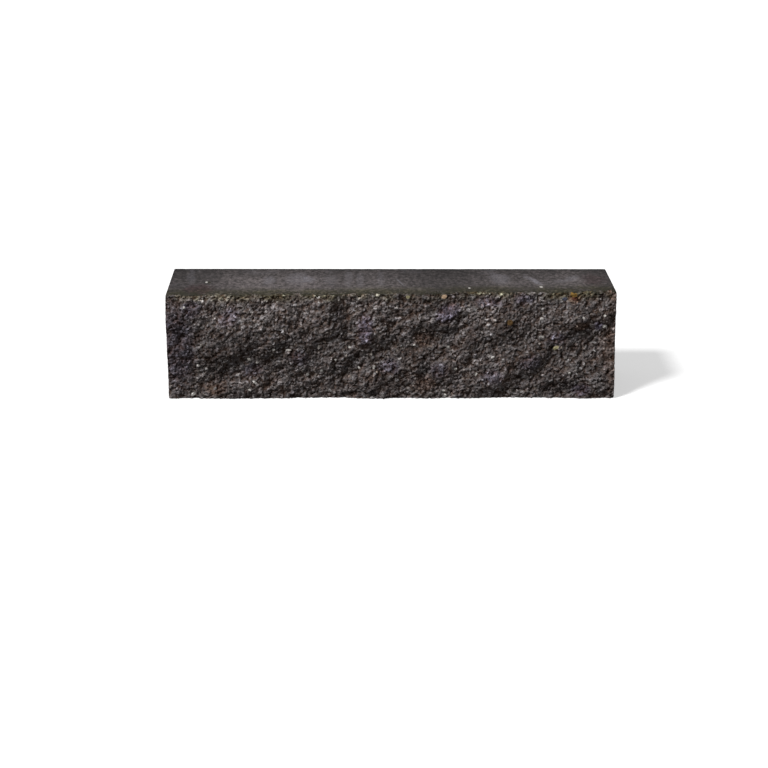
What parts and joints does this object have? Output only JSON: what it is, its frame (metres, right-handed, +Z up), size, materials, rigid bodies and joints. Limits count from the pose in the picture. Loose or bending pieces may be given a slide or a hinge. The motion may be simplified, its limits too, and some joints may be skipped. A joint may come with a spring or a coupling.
{
  "type": "split-face block",
  "caption": "Long rectangular walling block of dark dense concrete with one rough split face; the other faces are flat as moulded.",
  "frame": {"origin": "in the bed face, midway along the block, 75 mm in front of the moulded back", "axes": "+X along the block to the right as seen from the split face, -Y out of the split face, +Z up from the bed"},
  "size_m": [0.6, 0.154, 0.146],
  "materials": {
    "concrete": "matte"
  },
  "bodies": {
    "root": {"split_face_block": "concrete"}
  },
  "joints": []
}
